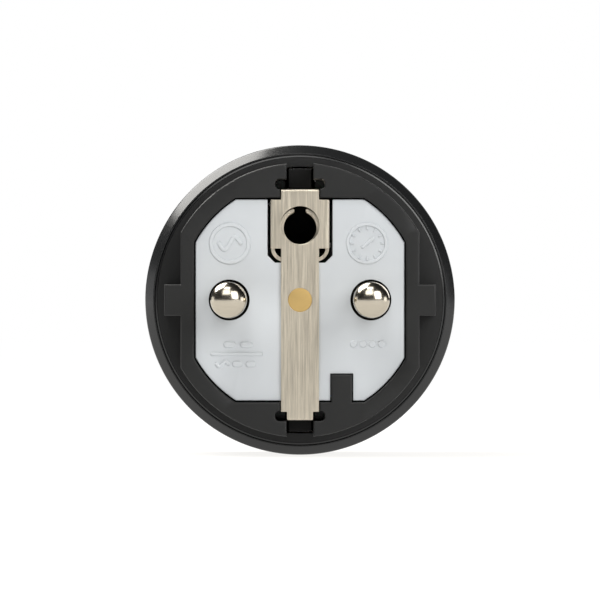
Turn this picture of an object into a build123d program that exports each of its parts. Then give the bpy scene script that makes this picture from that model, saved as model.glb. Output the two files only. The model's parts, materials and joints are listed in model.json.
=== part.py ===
from build123d import *
import os
from math import pi, sin

os.makedirs("parts", exist_ok=True)

# A round wall plug with a radio-switched socket on its back, in millimetres.
# The pins point along -Y, the socket opens along +Y, and the earth hole is up, along +Z.
# The origin is the middle of the plug's front face, halfway between the two pins.

# ---- driving dimensions -------------------------------------------------------------

PIN_R = 2.4              # contact pins of 4.8 mm
PIN_X = 9.5              # half of the 19 mm between the pins
PIN_LENGTH = 19.0        # from the plug's face to the tip
EARTH_Z = 10.0           # the earth hole stands 10 mm above the line of the pins

HOUSING_R = 21.0         # 42 mm across the sleeve
SLEEVE_R_IN = 19.5       # the socket well is 39 mm across
BOSS_R = 18.4            # the raised plug body that enters a wall socket
BOSS_FLAT_X = 16.0       # flats on its left and right
RIB_X, RIB_W = 18.2, 4.2  # the rib in the middle of each flat
FLANGE_Y = 17.0          # how far the plug body stands out of the flange
FLANGE_R, FLANGE_T = 19.6, 1.6
CONE_R = 19.9            # where the sleeve's bevelled front edge starts
WELL_DEPTH = 17.5
FACE_Y = 34.0            # the floor of the socket well
REAR_Y = FACE_Y + WELL_DEPTH

WALL_T = 2.4             # the plug body's front wall
EDGE_R = 0.22            # rounding of the plug body's front edges
NOTCH_EDGE_R = 0.15      # and of the insert's
SHEET = 0.6              # earth strap
PLATE_T = 1.4            # power board
GAP = 0.2                # clearance between parts that don't move

POWER_Y = 19.2           # front face of the power board
CONTROL_Y = 22.4         # front face of the control board
CONTROL_T = 1.0
BUTTON_Y = 24.3
BRIDGE_Y = 27.6          # earth bridge behind the socket
SHUTTER_Y, SHUTTER_T = 29.8, 1.6
FACE_T = 2.4

# ---- helpers ------------------------------------------------------------------------


def block(x, y, z):
    """A box between a low and a high value on each axis."""
    lo = (x[0], y[0], z[0])
    hi = (x[1], y[1], z[1])
    size = [h - l for l, h in zip(lo, hi)]
    return Pos(*[(l + h) / 2 for l, h in zip(lo, hi)]) * Box(*size)


def wide(half, y, z):
    """A box that is centred on x = 0."""
    return block((-half, half), y, z)


def rod(r, y, x=0.0, z=0.0):
    """A cylinder along Y."""
    return Pos(x, (y[0] + y[1]) / 2, z) * Rot(90, 0, 0) * Cylinder(r, y[1] - y[0])


def rod_x(r, x, y=0.0, z=0.0):
    """A cylinder along X."""
    return Pos((x[0] + x[1]) / 2, y, z) * Rot(0, 90, 0) * Cylinder(r, x[1] - x[0])


def rod_z(r, z, x=0.0, y=0.0):
    """A cylinder along Z."""
    return Pos(x, y, (z[0] + z[1]) / 2) * Cylinder(r, z[1] - z[0])


def taper(r0, r1, y, x=0.0, z=0.0):
    """A cone along Y, of radius r0 at its low end and r1 at its high end."""
    return Pos(x, (y[0] + y[1]) / 2, z) * Rot(-90, 0, 0) * Cone(r0, r1, y[1] - y[0])


def ring(r_out, r_in, y, x=0.0, z=0.0):
    return rod(r_out, y, x, z) - rod(r_in, (y[0] - 1, y[1] + 1), x, z)


def both_sides(shape):
    """A shape and its mirror image across x = 0."""
    return shape + mirror(shape, about=Plane.YZ)


def edges_at(shape, y, tol=1e-3):
    """The edges that lie wholly in the plane at this y."""
    return [
        e for e in shape.edges()
        if abs(e.bounding_box().min.Y - y) < tol and abs(e.bounding_box().max.Y - y) < tol
    ]


def rim_edges(shape, y, r):
    """The circles and arcs of this radius in the plane at this y."""
    return [e for e in edges_at(shape, y) if e.geom_type == GeomType.CIRCLE and abs(e.radius - r) < 0.01]


parts = {}

# ---- plug body ----------------------------------------------------------------------

SLOT_X, SLOT_R = 1.8, 18.1         # the grooves at the top and the bottom of the body
UNDERCUT_X, UNDERCUT_Z = 3.3, (14.9, 16.2)
INSERT_X, INSERT_Z, INSERT_R = 14.0, 13.5, 16.0
NOTCH_X, NOTCH_Z = 4.35, 5.0       # the notch in the insert for the earth strap
KEY_X, KEY_Z = (4.2, 7.0), -10.0   # the body's key that enters the insert's slot
CAVITY_X, CAVITY_R = 14.9, 17.0
GROOVE_WALL_X, GROOVE_WALL_Z = 4.4, 13.2
EARTH_WALL_X, EARTH_WALL_Y, EARTH_WALL_Z = 3.8, (14.4, 15.4), 6.4   # keeps the earth pin off the boards


def insert_outline(y, grow=0.0):
    """The plate's outline: a wide block whose corners are cut by a circle."""
    plate = wide(INSERT_X + grow, y, (-INSERT_Z - grow, INSERT_Z + grow))
    return plate & rod(INSERT_R + grow, y)


def groove(side):
    """A T-shaped groove along the plug body, open to its outside; side is +1 or -1."""
    low, high = UNDERCUT_Z
    undercut = wide(UNDERCUT_X, (-1, FLANGE_Y), (low, high))
    undercut = fillet(undercut.edges().filter_by(Axis.Y), 0.55)
    slot = wide(SLOT_X, (-1, FLANGE_Y), (low + 0.3, HOUSING_R))
    window = wide(SLOT_X, (FLANGE_Y - 1, FLANGE_Y + FLANGE_T + 4), (low, HOUSING_R))
    window &= rod(SLOT_R, (FLANGE_Y - 1, FLANGE_Y + FLANGE_T + 4))
    channel = wide(2.65, (-1, FLANGE_Y - 1.0), (INSERT_Z, low + 0.3))
    channel -= wide(2.65, (WALL_T, FLANGE_Y), (0, 14.1))
    cut = undercut + slot + window + channel
    return cut if side > 0 else mirror(cut, about=Plane.XY)


def rear_cover():
    body = rod(BOSS_R, (0, FLANGE_Y)) & wide(BOSS_FLAT_X, (0, FLANGE_Y), (-20, 20))
    body += wide(RIB_X, (0, FLANGE_Y), (-RIB_W / 2, RIB_W / 2))
    body += rod(FLANGE_R, (FLANGE_Y, FLANGE_Y + FLANGE_T))
    skirt = ring(SLEEVE_R_IN - 0.15, 18.2, (FLANGE_Y + FLANGE_T, 21.0))
    skirt -= wide(4.0, (FLANGE_Y, 22), (-20, 20))
    body += skirt
    body = fillet(rim_edges(body, FLANGE_Y, FLANGE_R), 0.2)
    cavity = rod(CAVITY_R, (WALL_T, FLANGE_Y + 8)) & wide(CAVITY_X, (WALL_T, 30), (-20, 20))
    for side in (1, -1):
        z = sorted((side * GROOVE_WALL_Z, side * 20))
        cavity -= wide(GROOVE_WALL_X, (0, FLANGE_Y), z)
    body -= cavity
    body -= insert_outline((-1, WALL_T + 1), GAP)
    for side in (1, -1):
        body -= groove(side)
    key = block(KEY_X, (0, WALL_T), (-INSERT_Z - 1, KEY_Z))
    body += key
    body += wide(EARTH_WALL_X, EARTH_WALL_Y, (EARTH_WALL_Z, GROOVE_WALL_Z + GAP))
    return fillet(edges_at(body, 0.0), EDGE_R)


def pin_insert():
    """The pale carrier of the two pins, held behind the front wall by its wider back."""
    plate = insert_outline((SHEET, WALL_T))
    front = edges_at(plate, SHEET)
    plate = fillet(front, NOTCH_EDGE_R)
    back = rod(INSERT_R + 0.8, (WALL_T + 0.05, 4.0))
    back &= wide(INSERT_X + 0.7, (0, 5), (-20, 20))
    for side in (1, -1):
        back -= wide(GROOVE_WALL_X + GAP, (0, 5), sorted((side * (GROOVE_WALL_Z - GAP), side * 20)))
    body = plate + insert_outline((WALL_T, WALL_T + 0.1)) + back
    body -= wide(NOTCH_X, (0, 5), (NOTCH_Z, 20)) - both_sides(
        Pos(NOTCH_X, 2.5, NOTCH_Z) * Rot(0, 45, 0) * Box(1.4, 6, 1.4)
    )
    body -= block((KEY_X[0] - 0.15, KEY_X[1] + 0.15), (0, 5), (-20, KEY_Z + 0.15))
    for x in (-PIN_X, PIN_X):
        body -= rod(2.75, (0, 5), x)
    body -= rod(1.5, (0, 5))
    notch = [
        e for e in edges_at(body, SHEET)
        if abs(abs(e.center().X) - NOTCH_X) < 0.75 and e.center().Z > NOTCH_Z
    ]
    body = fillet(notch, NOTCH_EDGE_R)
    for mark in markings():
        body += mark
    return body


RELIEF = 0.15            # how far the markings stand out of the insert


def raised(sketch, x, z):
    """A flat shape, drawn as it is seen from the front, raised on the insert's face."""
    front = Plane(origin=(x, SHEET + 0.05, z), x_dir=(1, 0, 0), z_dir=(0, -1, 0))
    return extrude(front * sketch, amount=RELIEF + 0.05)


def wave(width, height, line=0.45):
    """One period of a sine wave, as a band of even thickness."""
    steps = 16
    points = [
        (width * (i / steps - 0.5), height * sin(2 * pi * i / steps)) for i in range(steps + 1)
    ]
    with BuildSketch() as sketch:
        with BuildLine():
            Spline(*points)
        trace(line_width=line)
    return sketch.sketch


def markings():
    """Plain symbols: a wave in a ring, a moulding date dial, a divided bar and cavity dots."""
    marks = [raised(Circle(2.75) - Circle(2.3), -9.4, 7.6), raised(wave(2.9, 0.85), -9.4, 7.6)]
    dial = Circle(2.75) - Circle(2.4)
    for i in range(12):
        dial += Rot(0, 0, 30 * i) * Pos(2.05, 0) * Rectangle(0.5, 0.22)
    dial += Rot(0, 0, 40) * (Pos(0.1, 0) * Rectangle(1.8, 0.3) + Pos(1.0, 0) * RegularPolygon(0.5, 3))
    marks.append(raised(dial, 9.0, 7.6))
    marks.append(raised(SlotOverall(7.0, 0.4), -8.5, -7.25))
    for x, width in ((-9.4, 1.6), (-7.2, 1.6)):
        marks.append(raised(SlotOverall(width, 0.7), x, -6.0))
    marks.append(raised(wave(1.6, 0.35, 0.35), -10.4, -8.6))
    for x in (-8.4, -6.6):
        marks.append(raised(SlotOverall(1.3, 0.7), x, -8.6))
    for i in range(4):
        marks.append(raised(Circle(0.42), 7.2 + 1.25 * i, -5.9))
    return marks


parts["rear_cover"] = rear_cover()
parts["pin_insert"] = pin_insert()


PIN_DOME = 1.6           # length of the rounded tip
NECK_R = 2.05            # behind the face, clearly thinner than the pin


def contact_pin(x):
    """A nickel-plated pin with a domed tip, a neck, a collar and a riveted end."""
    tip = -PIN_LENGTH
    with BuildPart() as pin:
        with BuildSketch(Plane.XY):
            with BuildLine():
                Line((0, 7.4), (0, tip))
                Line((0, tip), (0.9, tip))
                RadiusArc((0.9, tip), (PIN_R, tip + PIN_DOME), -1.75)
                Polyline(
                    (PIN_R, tip + PIN_DOME), (PIN_R, 0), (NECK_R, 0), (NECK_R, 4.05),
                    (3.5, 4.05), (3.5, 5.0), (1.8, 5.0), (1.8, 7.4), (0, 7.4),
                )
            make_face()
        revolve(axis=Axis.Y)
    return Pos(x, 0, 0) * pin.part


parts["line_pin"] = contact_pin(-PIN_X)
parts["neutral_pin"] = contact_pin(PIN_X)

STRAP_X, WING_X, TAB_X = 2.55, 3.95, 1.75
STRAP_Y = (0.03, SHEET)   # just under the face, so that the face itself seats
LEG_END_Y = 14.0
HOLE_R = 2.58
RIVET_R = 1.6


def earth_strap():
    """Bent sheet across the face: a leg runs back along the groove at each end."""
    y = STRAP_Y
    top, bottom = 14.85, -16.1
    plate = wide(STRAP_X, y, (-15.0, top)) + wide(WING_X, y, (6.9, INSERT_Z - 0.05))
    plate += wide(TAB_X, y, (bottom, -15.0))
    upper = wide(STRAP_X, (y[0], LEG_END_Y), (top - SHEET, top))
    lower = wide(TAB_X, (y[0], LEG_END_Y), (bottom, bottom + SHEET))
    strap = plate + upper + lower
    bends = [
        e for e in strap.edges().filter_by(Axis.X)
        if abs(e.center().Y - y[0]) < 0.01 and min(abs(e.center().Z - z) for z in (top, bottom)) < 0.01
    ]
    strap = fillet(bends, 0.3)
    sides = [
        e for e in strap.edges().filter_by(Axis.Z)
        if abs(e.center().Y - y[0]) < 0.01 and abs(abs(e.center().X) - WING_X) < 0.01
    ]
    strap = fillet(sides, 0.3)
    strap -= rod(HOLE_R, (-1, 3), 0, EARTH_Z)
    strap -= rod(RIVET_R, (-1, 3))
    return strap


parts["earth_strap"] = earth_strap()
parts["earth_rivet"] = rod(RIVET_R, STRAP_Y) + rod(1.45, (STRAP_Y[1], 4.6))

BOX_X, BOX_Z, BOX_TOP = 3.9, 5.15, 13.1
BOX_END_Y = 14.0


def earth_pin_box():
    """A folded U of sheet behind the strap, round the earth hole."""
    y = (STRAP_Y[1], BOX_END_Y)
    outer = wide(BOX_X, y, (BOX_Z, BOX_TOP + 4))
    inner = wide(BOX_X - 0.5, (y[0] - 1, y[1] + 1), (BOX_Z + 0.5, BOX_TOP + 6))
    low = [e for e in outer.edges().filter_by(Axis.Y) if e.center().Z < BOX_Z + 1]
    outer = fillet(low, 1.8)
    low = [e for e in inner.edges().filter_by(Axis.Y) if e.center().Z < BOX_Z + 1]
    inner = fillet(low, 1.3)
    return (outer - inner) & wide(6, (0, 20), (0, BOX_TOP))


def split_tube(r_out, r_in, y, x, z, slit, angle=0.0):
    """A rolled tube along Y with an open slit, which is up until it is turned."""
    tube = ring(r_out, r_in, y) - wide(slit / 2, (y[0] - 1, y[1] + 1), (0, r_out + 1))
    return Pos(x, 0, z) * Rot(0, angle, 0) * tube


parts["earth_pin_box"] = earth_pin_box()
parts["earth_pin_tube"] = split_tube(2.9, 2.45, (1.0, 13.6), 0, EARTH_Z, 2.4)

retainer = insert_outline((5.1, 6.2), 0.4)
retainer -= wide(GROOVE_WALL_X + 0.4, (5, 7), (GROOVE_WALL_Z - 0.4, 20))
retainer -= wide(GROOVE_WALL_X + 0.4, (5, 7), (-20, -GROOVE_WALL_Z + 0.4))
retainer -= wide(BOX_X + 0.25, (5, 7), (BOX_Z - 0.25, 20))
for x in (-PIN_X, PIN_X):
    retainer -= rod(2.0, (5, 7), x)
parts["insert_retainer"] = retainer

# ---- outer sleeve and socket face ---------------------------------------------------

CONE_LENGTH = HOUSING_R - CONE_R
BUTTON_R, LED_X, LED_R = 2.6, 5.0, 0.8


def housing_sleeve():
    straight = rod(HOUSING_R, (FLANGE_Y + CONE_LENGTH, REAR_Y))
    sleeve = straight + taper(CONE_R, HOUSING_R, (FLANGE_Y, FLANGE_Y + CONE_LENGTH))
    sleeve = fillet(edges_at(sleeve, FLANGE_Y + CONE_LENGTH), 0.35)
    sleeve = fillet(edges_at(sleeve, REAR_Y), 0.8)
    sleeve -= rod(SLEEVE_R_IN, (FLANGE_Y - 1, REAR_Y + 1))
    sleeve -= rod(FLANGE_R + 0.08, (FLANGE_Y - 1, FLANGE_Y + FLANGE_T + 0.1))
    sleeve = fillet(rim_edges(sleeve, REAR_Y, SLEEVE_R_IN), 0.3)
    sleeve -= rod_z(BUTTON_R + 0.1, (15, 25), 0, BUTTON_Y)
    sleeve -= rod_z(LED_R + 0.05, (15, 25), LED_X, BUTTON_Y)
    return sleeve


parts["housing_sleeve"] = housing_sleeve()

CLIP_X = 2.2
HUB_R = 3.0
SCREW_HEAD_R = 2.3


def socket_face():
    """The floor of the well, with two guide ribs up its wall and a hub on its back."""
    y = (FACE_Y - FACE_T, FACE_Y)
    floor = rod(SLEEVE_R_IN - 0.08, y)
    rib = block((16.9, SLEEVE_R_IN), (FACE_Y - 1, REAR_Y - 2.5), (-2.2, 2.2))
    rib &= rod(SLEEVE_R_IN - 0.08, (0, 60))
    rib = chamfer([e for e in rib.edges() if e.center().Y > REAR_Y - 3 and e.center().X < 17], 0.7)
    floor += both_sides(rib)
    floor += rod(HUB_R, (SHUTTER_Y - 0.2, FACE_Y - FACE_T))
    for x in (-PIN_X, PIN_X):
        floor -= rod(2.95, (y[0] - 1, y[1] + 1), x)
        floor -= taper(2.95, 3.75, (FACE_Y - 0.8, FACE_Y + 0.001), x)
    floor += block((-10.2, -7.8), (29.6, FACE_Y - FACE_T), (12.4, 13.2))   # the shutter spring's stop
    floor -= rod(1.4, (20, 40))
    floor -= rod(SCREW_HEAD_R + 0.1, (FACE_Y - 1.5, FACE_Y + 1))
    for side in (1, -1):
        floor -= wide(CLIP_X + 0.3, (y[0] - 1, y[1] + 1), sorted((side * 16.2, side * 18.8)))
    return floor


parts["socket_face"] = socket_face()


def centre_screw():
    """A pan-head screw with a cross recess."""
    head = rod(SCREW_HEAD_R, (FACE_Y - 1.45, FACE_Y - 0.15))
    head = fillet(edges_at(head, FACE_Y - 0.15), 0.5)
    for turn in (0, 90):
        head -= Pos(0, FACE_Y - 0.15, 0) * Rot(0, turn, 0) * Box(2.8, 1.4, 0.55)
    return head + rod(1.25, (25.0, FACE_Y - 1.4))


parts["centre_screw"] = centre_screw()

# ---- shutter behind the socket face --------------------------------------------------

shutter = ring(5.2, HUB_R + 0.05, (SHUTTER_Y, SHUTTER_Y + SHUTTER_T))
for x in (-PIN_X, PIN_X):
    shutter += rod(3.5, (SHUTTER_Y, SHUTTER_Y + SHUTTER_T), x)
    arm = sorted((x * 0.42, x))
    shutter += block(arm, (SHUTTER_Y, SHUTTER_Y + SHUTTER_T), (-2.4, 2.4))
shutter -= rod(HUB_R + 0.05, (0, 50))
parts["shutter"] = shutter

cover = rod(16.0, (28.6, 29.6)) & wide(16.0, (0, 50), (-12.5, 12.5))
for x in (-PIN_X, PIN_X):
    cover -= rod(3.2, (0, 50), x)
cover -= rod(1.4, (0, 50))
parts["shutter_cover"] = cover

SPRING_X, SPRING_Z = -9.0, (3.7, 12.3)   # the arm compresses it as the shutter turns
SPRING_R, SPRING_TURNS, WIRE_R = 0.62, 9, 0.12
spring_length = SPRING_Z[1] - SPRING_Z[0] - 2 * WIRE_R
coil_path = Helix(pitch=spring_length / SPRING_TURNS, height=spring_length, radius=SPRING_R)
wire = sweep(
    Plane(origin=coil_path @ 0, z_dir=coil_path % 0) * Circle(WIRE_R), path=coil_path, is_frenet=True
)
parts["shutter_spring"] = Pos(SPRING_X, SHUTTER_Y + SHUTTER_T / 2, SPRING_Z[0] + WIRE_R) * wire

# ---- socket contacts and earth path ---------------------------------------------------

CONTACT_Y = (14.6, 27.3)


def socket_contact(side):
    """A rolled contact that grips a pin, with a foot that lies on the power board."""
    tube = split_tube(3.05, 2.45, CONTACT_Y, side * PIN_X, 0, 2.4, 180)
    foot = block(sorted((side * 12.35, side * 15.6)), (POWER_Y + PLATE_T, POWER_Y + PLATE_T + 0.6), (-2, 2))
    return tube + foot


parts["line_contact"] = socket_contact(-1)
parts["neutral_contact"] = socket_contact(1)


def busbar(side):
    """A strip from the riveted end of a pin, out and back to the power board."""
    out = block(sorted((side * PIN_X, side * 13.9)), (6.4, 7.1), (-1.8, 1.8))
    out += rod(2.9, (6.4, 7.1), side * PIN_X)
    back = block(sorted((side * 13.3, side * 13.9)), (6.4, POWER_Y), (-1.8, 1.8))
    return out + back - rod(1.8, (0, 20), side * PIN_X)


parts["line_busbar"] = busbar(-1)
parts["neutral_busbar"] = busbar(1)

LINK_X, LINK_Z = 1.5, (5.65, 6.15)
parts["earth_link"] = wide(LINK_X, (9.0, BRIDGE_Y), LINK_Z)

bridge = wide(CLIP_X, (BRIDGE_Y, BRIDGE_Y + 0.8), (-18.6, 18.6)) - rod(1.4, (0, 50))
parts["earth_bridge"] = bridge


CLIP_T = 0.6
CLIP_Z, CLIP_BULGE_Z = 18.3, 16.7


def earth_clip(side):
    """A springy contact that rises from the bridge along the wall of the well."""
    low, high = BRIDGE_Y + 0.8, REAR_Y - 3.5
    line = [(low, CLIP_Z), (FACE_Y - 0.5, CLIP_Z), (39.5, CLIP_BULGE_Z),
            (42.0, CLIP_BULGE_Z), (45.3, CLIP_Z), (high, CLIP_Z)]
    upper = [(y, z + CLIP_T / 2) for y, z in line]
    lower = [(y, z - CLIP_T / 2) for y, z in reversed(line)]
    with BuildPart() as clip:
        with BuildSketch(Plane.YZ) as section:
            Polygon(*upper, *lower, align=None)
            bends = [v for v in section.vertices() if low + 1 < v.Y < high - 1]
            fillet(bends, 1.2)
        extrude(amount=CLIP_X, both=True)
    return clip.part if side > 0 else mirror(clip.part, about=Plane.XY)


parts["upper_earth_clip"] = earth_clip(1)
parts["lower_earth_clip"] = earth_clip(-1)

# ---- inner carrier ---------------------------------------------------------------------

ARM_X, ARM_Z = 1.57, (15.1, 17.8)
CARRIER_Y = POWER_Y + PLATE_T + 0.05
SPOKE_Y = (25.9, 27.2)
POST_X, POST_Z = 11.6, 9.2


def inner_carrier():
    """A ring that holds both boards, with two latch arms that snap into the rear cover."""
    body = ring(17.9, 16.4, (CARRIER_Y, SPOKE_Y[0]))
    body -= wide(6.2, (CARRIER_Y + 1.0, SPOKE_Y[0]), (0, 20))
    body -= both_sides(block((12.2, 20), (CARRIER_Y - 1, CARRIER_Y + 0.8), (-2.3, 2.3)))
    body += ring(17.6, 16.4, SPOKE_Y)
    body += wide(3.0, SPOKE_Y, (-16.8, 16.8))
    body += rod(3.2, (24.4, SPOKE_Y[1]))
    body += both_sides(rod(1.8, (CONTROL_Y + CONTROL_T, SPOKE_Y[1]), POST_X, POST_Z))
    body -= wide(LINK_X + 0.3, (20, 30), (LINK_Z[0] - 0.3, LINK_Z[1] + 0.3))
    body -= rod(1.25, (0, 50))
    body -= both_sides(rod(0.8, (0, 25.6), POST_X, POST_Z))
    for side in (1, -1):
        arm = wide(ARM_X, (14.6, CARRIER_Y + 0.9), sorted((side * ARM_Z[0], side * ARM_Z[1])))
        arm &= rod(ARM_Z[1], (0, 50))
        body += arm
    return body


parts["inner_carrier"] = inner_carrier()

# ---- power board and what stands on it ---------------------------------------------------


def board(r, y, thickness):
    """A round circuit board with room for the contacts, the earth link and the arms."""
    plate = rod(r, (y, y + thickness))
    for x in (-PIN_X, PIN_X):
        plate -= rod(3.8, (0, 50), x)
    plate -= wide(LINK_X + 0.4, (0, 50), (LINK_Z[0] - 0.4, LINK_Z[1] + 0.4))
    for side in (1, -1):
        plate -= wide(2.0, (0, 50), sorted((side * 14.7, side * 20)))
    return plate


parts["power_board"] = board(17.0, POWER_Y, PLATE_T)

RELAY_X, RELAY_Y, RELAY_Z = 9.3, (7.6, 18.4), (-13.0, -4.7)
RELAY_MID = (RELAY_Z[0] + RELAY_Z[1]) / 2
RELAY_WALL = 0.7
case = wide(RELAY_X, RELAY_Y, RELAY_Z)
case = fillet(edges_at(case, RELAY_Y[0]), 0.3)
hollow = wide(
    RELAY_X - RELAY_WALL,
    (RELAY_Y[0] + RELAY_WALL, RELAY_Y[1] + 1),
    (RELAY_Z[0] + RELAY_WALL, RELAY_Z[1] - RELAY_WALL),
)
parts["relay_case"] = case - hollow
BASE_Y = (17.3, 18.4)
base = wide(RELAY_X - RELAY_WALL, BASE_Y, (RELAY_Z[0] + RELAY_WALL, RELAY_Z[1] - RELAY_WALL))
for x in (-7.6, -4.5, 1.5, 5.5, 7.6):
    base += block((x - 0.4, x + 0.4), (BASE_Y[1], POWER_Y), (RELAY_MID - 0.3, RELAY_MID + 0.3))
parts["relay_base"] = base

COIL_Y, COIL_X = 12.9, (-7.1, 0.7)
COIL_R, CORE_R = 2.9, 1.2
parts["relay_core"] = rod_x(CORE_R, (-7.9, 1.6), COIL_Y, RELAY_MID)
bobbin = rod_x(CORE_R + 0.5, COIL_X, COIL_Y, RELAY_MID)
for x in COIL_X:
    end = sorted((x, x + (0.5 if x < 0 else -0.5)))
    bobbin += rod_x(3.15, end, COIL_Y, RELAY_MID)
parts["relay_bobbin"] = bobbin - rod_x(CORE_R, (-10, 10), COIL_Y, RELAY_MID)
coil = rod_x(COIL_R, (COIL_X[0] + 0.5, COIL_X[1] - 0.5), COIL_Y, RELAY_MID)
parts["relay_coil"] = coil - rod_x(CORE_R + 0.5, (-10, 10), COIL_Y, RELAY_MID)

ARMATURE_X = 2.05
HINGE_Y, PIVOT_R = 8.7, 0.3
yoke = block((-8.6, -7.9), (8.4, 16.2), (RELAY_MID - 2.8, RELAY_MID + 2.8))
yoke += block((-8.6, 1.6), (8.4, 9.2), (RELAY_MID - 2.8, RELAY_MID + 2.8))
parts["relay_yoke"] = yoke
armature_z = (RELAY_MID - 2.6, RELAY_MID + 2.6)
armature = block((ARMATURE_X, ARMATURE_X + 0.8), (8.4, 14.2), armature_z)
armature += rod_z(PIVOT_R, armature_z, ARMATURE_X + 0.8, HINGE_Y)
parts["relay_armature"] = armature
CONTACT_POINT_Y = 15.3
blade_x = ARMATURE_X + 0.8
blade = block((blade_x, blade_x + 0.2), (9.4, 16.3), (RELAY_MID - 1.8, RELAY_MID + 1.8))
blade += rod_x(0.75, (blade_x - 0.35, blade_x), CONTACT_POINT_Y, RELAY_MID)
parts["relay_blade"] = blade
fixed_x = blade_x - 0.35 - 0.55
fixed = block((fixed_x - 0.9, fixed_x - 0.4), (14.5, BASE_Y[0]), (RELAY_MID - 1.4, RELAY_MID + 1.4))
fixed += rod_x(0.75, (fixed_x - 0.4, fixed_x), CONTACT_POINT_Y, RELAY_MID)
parts["relay_fixed_contact"] = fixed

film = block((5.0, 12.8), (10.0, POWER_Y), (4.5, 9.4))
parts["film_capacitor"] = fillet(film.edges().filter_by(Axis.Y), 0.5)

CAN_R, CAN_Y = 2.5, (8.6, POWER_Y)
cans = Part()
for x, z in ((-6.9, 10.4), (-11.2, 7.0)):
    can = rod(CAN_R, CAN_Y, x, z)
    can = fillet(edges_at(can, CAN_Y[0]), 0.4)
    cans += can - ring(CAN_R + 1, CAN_R - 0.25, (POWER_Y - 1.8, POWER_Y - 1.3), x, z)
parts["bulk_capacitors"] = cans

CHOKE_X, CHOKE_Z = -6.2, 5.2
drum = rod(2.3, (11.0, 12.0), CHOKE_X, CHOKE_Z) + rod(2.3, (18.2, POWER_Y), CHOKE_X, CHOKE_Z)
parts["choke_core"] = drum + rod(1.1, (12.0, 18.2), CHOKE_X, CHOKE_Z)
parts["choke_winding"] = ring(2.1, 1.1, (12.0, 18.2), CHOKE_X, CHOKE_Z)

VARISTOR_X, VARISTOR_Y = 7.8, 14.6
disc = rod_z(3.3, (9.9, 11.7), VARISTOR_X, VARISTOR_Y)
disc = fillet(disc.edges(), 0.5)
for x in (VARISTOR_X - 2.0, VARISTOR_X + 2.0):
    disc += rod(0.3, (VARISTOR_Y + 1.5, POWER_Y), x, 10.8)
parts["varistor"] = disc

fuse_body = rod(1.6, (9.5, 18.0), 11.6, -6.4)
parts["fuse"] = fuse_body + rod(0.35, (18.0, POWER_Y), 11.6, -6.4)
parts["rectifier"] = block((-13.2, -10.0), (16.9, POWER_Y), (-8.4, -4.9))

BACK_Y = POWER_Y + PLATE_T
parts["metering_chip"] = wide(2.6, (BACK_Y, BACK_Y + 1.4), (8.0, 11.6))
parts["regulator_chip"] = block((-12.6, -9.6), (BACK_Y, BACK_Y + 1.3), (-8.2, -5.4))
shunt = block((8.8, 14.0), (BACK_Y, BACK_Y + 1.4), (-7.6, -5.4))
parts["current_shunt"] = shunt - block((9.8, 13.0), (BACK_Y - 1, BACK_Y + 0.8), (-8, -5))
header = wide(4.6, (BACK_Y, CONTROL_Y), (-8.6, -6.4))
parts["board_header"] = header

# ---- control board -----------------------------------------------------------------------

control = board(16.2, CONTROL_Y, CONTROL_T) - both_sides(rod(0.9, (0, 50), POST_X, POST_Z))
parts["control_board"] = control
screws = rod(1.4, (CONTROL_Y - 0.9, CONTROL_Y), POST_X, POST_Z)
screws += rod(0.8, (CONTROL_Y, 25.4), POST_X, POST_Z)
parts["board_screws"] = both_sides(screws)

RADIO_Y = CONTROL_Y + CONTROL_T
parts["radio_board"] = wide(7.4, (RADIO_Y, RADIO_Y + 0.8), (-14.0, -4.6))
can = block((-7.0, 4.2), (RADIO_Y + 0.8, RADIO_Y + 2.3), (-13.6, -5.0))
can = fillet(can.edges().filter_by(Axis.Y), 0.4)
parts["radio_shield"] = can - block(
    (-6.8, 4.0), (RADIO_Y, RADIO_Y + 2.1), (-13.4, -5.2)
)

# ---- button, its switch and the status light -------------------------------------------------

SWITCH_Y = (RADIO_Y, 2 * BUTTON_Y - RADIO_Y)
SWITCH_TOP = 15.5
STEM_Z = 16.6
switch = wide(2.0, SWITCH_Y, (12.2, SWITCH_TOP))
switch -= wide(1.1, (BUTTON_Y - 0.55, BUTTON_Y + 0.55), (14.6, SWITCH_TOP + 1))
parts["switch_body"] = switch
parts["switch_plunger"] = wide(1.0, (BUTTON_Y - 0.45, BUTTON_Y + 0.45), (15.1, STEM_Z))

button = rod_z(BUTTON_R, (18.6, 22), 0, BUTTON_Y) & rod(HOUSING_R - 0.1, (0, 50))
button = fillet([e for e in button.edges() if e.center().Z > 20], 0.25)
button += rod_z(3.0, (18.35, 19.0), 0, BUTTON_Y)
button += rod_z(0.9, (STEM_Z + 0.02, 18.4), 0, BUTTON_Y)
parts["button_cap"] = button

pipe = rod_z(LED_R, (15.4, 22), LED_X, BUTTON_Y) & rod(HOUSING_R - 0.05, (0, 50))
parts["light_pipe"] = pipe
parts["status_led"] = block((4.2, 5.8), (RADIO_Y, RADIO_Y + 1.4), (14.0, 15.2))

# ---- output --------------------------------------------------------------------------------

for name, shape in parts.items():
    export_step(shape, f"parts/{name}.step")
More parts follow.
